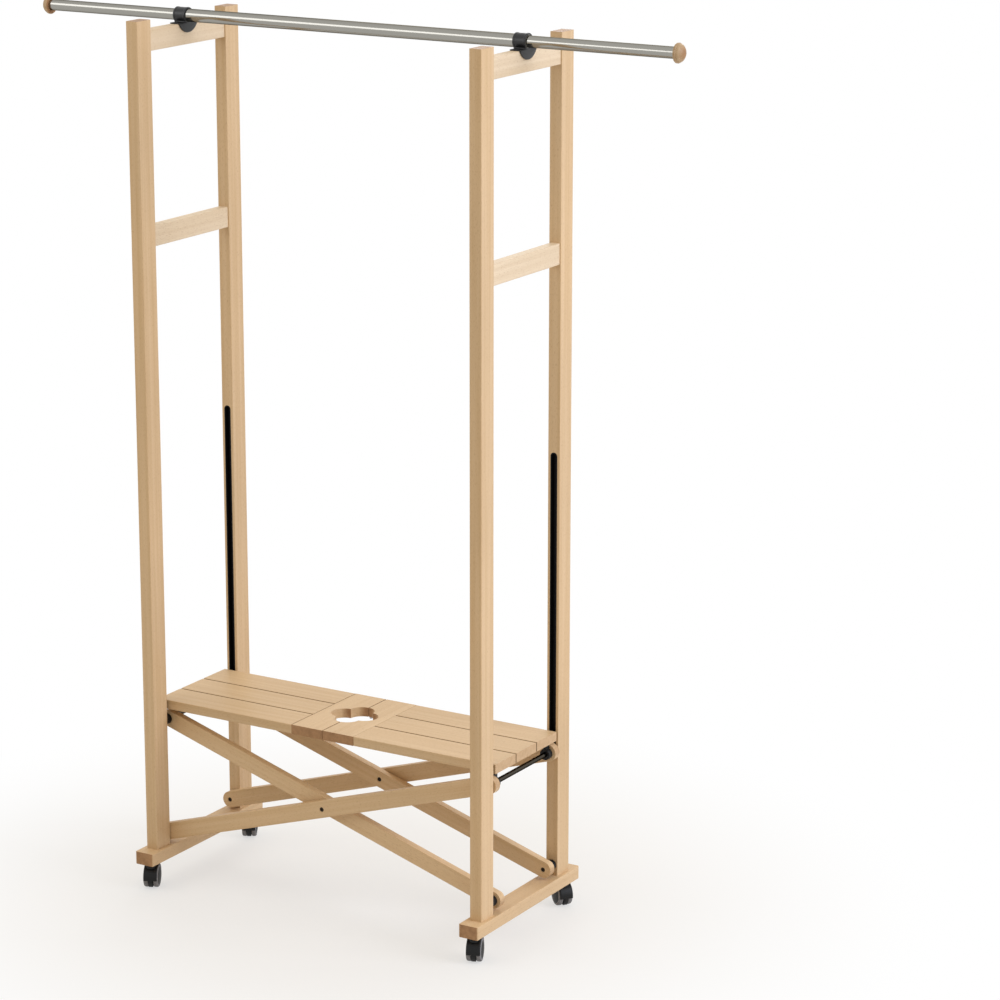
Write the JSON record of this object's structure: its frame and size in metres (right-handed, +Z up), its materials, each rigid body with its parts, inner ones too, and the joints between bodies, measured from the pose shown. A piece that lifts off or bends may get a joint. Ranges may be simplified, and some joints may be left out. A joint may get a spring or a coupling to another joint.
{
  "type": "folding coat stand",
  "caption": "Beech coat stand on twin-wheel casters: end frames, crossed bars, a hinged shelf with a flower-shaped hand hole and a chrome extending rail.",
  "frame": {"origin": "on the floor, at the centre between the four casters' swivel axes, with the stand open", "axes": "+X along the hanging rail to the right end, +Y from the front (the side in the picture with the left frame's foot nearest) to the rear, +Z up"},
  "size_m": [1.43, 0.4048, 1.7545],
  "materials": {
    "beech": "satin clear lacquer",
    "black_plastic": "moulded, matte",
    "chrome": "polished",
    "zinc_steel": "bright zinc",
    "dark_steel": "dark oxide",
    "tread": "grey rubber tread"
  },
  "bodies": {
    "left_frame": {"left_front_post": "beech", "left_rear_post": "beech", "left_slot_liners": "black_plastic", "left_top_rail": "beech", "left_mid_rail": "beech", "left_foot": "beech", "left_pivot_bolts": "dark_steel", "left_pivot_washers": "black_plastic", "left_caster_stems": "zinc_steel"},
    "outer_bars": {"front_outer_bar": "beech", "rear_outer_bar": "beech", "crossing_bolts": "dark_steel", "outer_bar_washers": "black_plastic", "right_rod": "chrome", "right_rod_glides": "black_plastic"},
    "inner_bars": {"front_inner_bar": "beech", "rear_inner_bar": "beech", "left_rod": "chrome", "left_rod_glides": "black_plastic", "left_rod_spacers": "black_plastic"},
    "right_frame": {"right_front_post": "beech", "right_rear_post": "beech", "right_slot_liners": "black_plastic", "right_top_rail": "beech", "right_mid_rail": "beech", "right_foot": "beech", "right_pivot_bolts": "dark_steel", "right_pivot_spacers": "black_plastic", "right_caster_stems": "zinc_steel"},
    "left_shelf": {"left_slats": "beech", "left_centre_board": "beech", "left_cleat": "beech", "left_hinge_leaves": "zinc_steel", "left_rod_clips": "black_plastic", "left_shelf_screws": "dark_steel"},
    "right_shelf": {"right_slats": "beech", "right_centre_board": "beech", "right_cleat": "beech", "right_hinge_leaves": "zinc_steel", "right_shelf_screws": "dark_steel"},
    "right_clips": {"right_rod_clips": "black_plastic", "right_clip_screws": "dark_steel"},
    "hanging_tube": {"centre_tube": "chrome", "tube_clips": "black_plastic"},
    "left_extension_tube": {"left_extension": "chrome", "left_knob": "beech"},
    "right_extension_tube": {"right_extension": "chrome", "right_knob": "beech"},
    "left_front_caster_body": {"left_front_caster": "black_plastic"},
    "left_front_wheel_a_body": {"left_front_wheel_a": "tread"},
    "left_front_wheel_b_body": {"left_front_wheel_b": "tread"},
    "left_rear_caster_body": {"left_rear_caster": "black_plastic"},
    "left_rear_wheel_a_body": {"left_rear_wheel_a": "tread"},
    "left_rear_wheel_b_body": {"left_rear_wheel_b": "tread"},
    "right_front_caster_body": {"right_front_caster": "black_plastic"},
    "right_front_wheel_a_body": {"right_front_wheel_a": "tread"},
    "right_front_wheel_b_body": {"right_front_wheel_b": "tread"},
    "right_rear_caster_body": {"right_rear_caster": "black_plastic"},
    "right_rear_wheel_a_body": {"right_rear_wheel_a": "tread"},
    "right_rear_wheel_b_body": {"right_rear_wheel_b": "tread"}
  },
  "joints": [
    {"name": "fold", "type": "hinge", "parent": "left_frame", "child": "outer_bars", "pos_m": [-0.38, 0, 0.104], "axis": [0, -1, 0], "range_deg": [0, 64.44]},
    {"name": "crossing", "type": "hinge", "parent": "outer_bars", "child": "inner_bars", "pos_m": [0, 0, 0.222], "axis": [0, -1, 0], "range_deg": [-128.88, 0]},
    {"name": "right_lower_pivot", "type": "hinge", "parent": "inner_bars", "child": "right_frame", "pos_m": [0.38, 0, 0.104], "axis": [0, -1, 0], "range_deg": [0, 64.44]},
    {"name": "left_shelf_turn", "type": "hinge", "parent": "inner_bars", "child": "left_shelf", "pos_m": [-0.38, 0, 0.34], "axis": [0, -1, 0], "range_deg": [0, 142.62]},
    {"name": "shelf_hinge", "type": "hinge", "parent": "left_shelf", "child": "right_shelf", "pos_m": [0, 0, 0.3608], "axis": [0, -1, 0], "range_deg": [-156.35, 0]},
    {"name": "right_clip_turn", "type": "hinge", "parent": "outer_bars", "child": "right_clips", "pos_m": [0.38, 0, 0.34], "axis": [0, -1, 0], "range_deg": [-142.62, 0]},
    {"name": "tube_lift", "type": "slide", "parent": "left_frame", "child": "hanging_tube", "axis": [0, 0, 1], "range_m": [0, 0.11]},
    {"name": "left_extension_slide", "type": "slide", "parent": "hanging_tube", "child": "left_extension_tube", "axis": [1, 0, 0], "range_m": [0, 0.3]},
    {"name": "right_extension_slide", "type": "slide", "parent": "hanging_tube", "child": "right_extension_tube", "axis": [-1, 0, 0], "range_m": [0, 0.3]},
    {"name": "left_front_swivel", "type": "hinge", "parent": "left_frame", "child": "left_front_caster_body", "pos_m": [-0.38, -0.172, 0.05], "axis": [0, 0, 1], "continuous": true},
    {"name": "left_front_wheel_a_spin", "type": "hinge", "parent": "left_front_caster_body", "child": "left_front_wheel_a_body", "pos_m": [-0.38507, -0.16112, 0.023], "axis": [0.9063, 0.4226, 0], "continuous": true},
    {"name": "left_front_wheel_b_spin", "type": "hinge", "parent": "left_front_caster_body", "child": "left_front_wheel_b_body", "pos_m": [-0.38507, -0.16112, 0.023], "axis": [0.9063, 0.4226, 0], "continuous": true},
    {"name": "left_rear_swivel", "type": "hinge", "parent": "left_frame", "child": "left_rear_caster_body", "pos_m": [-0.38, 0.172, 0.05], "axis": [0, 0, 1], "continuous": true},
    {"name": "left_rear_wheel_a_spin", "type": "hinge", "parent": "left_rear_caster_body", "child": "left_rear_wheel_a_body", "pos_m": [-0.386, 0.18239, 0.023], "axis": [0.866, 0.5, 0], "continuous": true},
    {"name": "left_rear_wheel_b_spin", "type": "hinge", "parent": "left_rear_caster_body", "child": "left_rear_wheel_b_body", "pos_m": [-0.386, 0.18239, 0.023], "axis": [0.866, 0.5, 0], "continuous": true},
    {"name": "right_front_swivel", "type": "hinge", "parent": "right_frame", "child": "right_front_caster_body", "pos_m": [0.38, -0.172, 0.05], "axis": [0, 0, 1], "continuous": true},
    {"name": "right_front_wheel_a_spin", "type": "hinge", "parent": "right_front_caster_body", "child": "right_front_wheel_a_body", "pos_m": [0.3755, -0.16087, 0.023], "axis": [0.9272, 0.3746, 0], "continuous": true},
    {"name": "right_front_wheel_b_spin", "type": "hinge", "parent": "right_front_caster_body", "child": "right_front_wheel_b_body", "pos_m": [0.3755, -0.16087, 0.023], "axis": [0.9272, 0.3746, 0], "continuous": true},
    {"name": "right_rear_swivel", "type": "hinge", "parent": "right_frame", "child": "right_rear_caster_body", "pos_m": [0.38, 0.172, 0.05], "axis": [0, 0, 1], "continuous": true},
    {"name": "right_rear_wheel_a_spin", "type": "hinge", "parent": "right_rear_caster_body", "child": "right_rear_wheel_a_body", "pos_m": [0.37054, 0.17939, 0.023], "axis": [0.6157, 0.788, 0], "continuous": true},
    {"name": "right_rear_wheel_b_spin", "type": "hinge", "parent": "right_rear_caster_body", "child": "right_rear_wheel_b_body", "pos_m": [0.37054, 0.17939, 0.023], "axis": [0.6157, 0.788, 0], "continuous": true}
  ],
  "couplings": [
    {"joint": "crossing", "follows": "fold", "ratio": -2},
    {"joint": "right_lower_pivot", "follows": "fold", "ratio": 1},
    {"joint": "left_shelf_turn", "follows": "fold", "ratio": 2.2132},
    {"joint": "shelf_hinge", "follows": "fold", "ratio": -2.4263},
    {"joint": "right_clip_turn", "follows": "fold", "ratio": -2.2132}
  ]
}
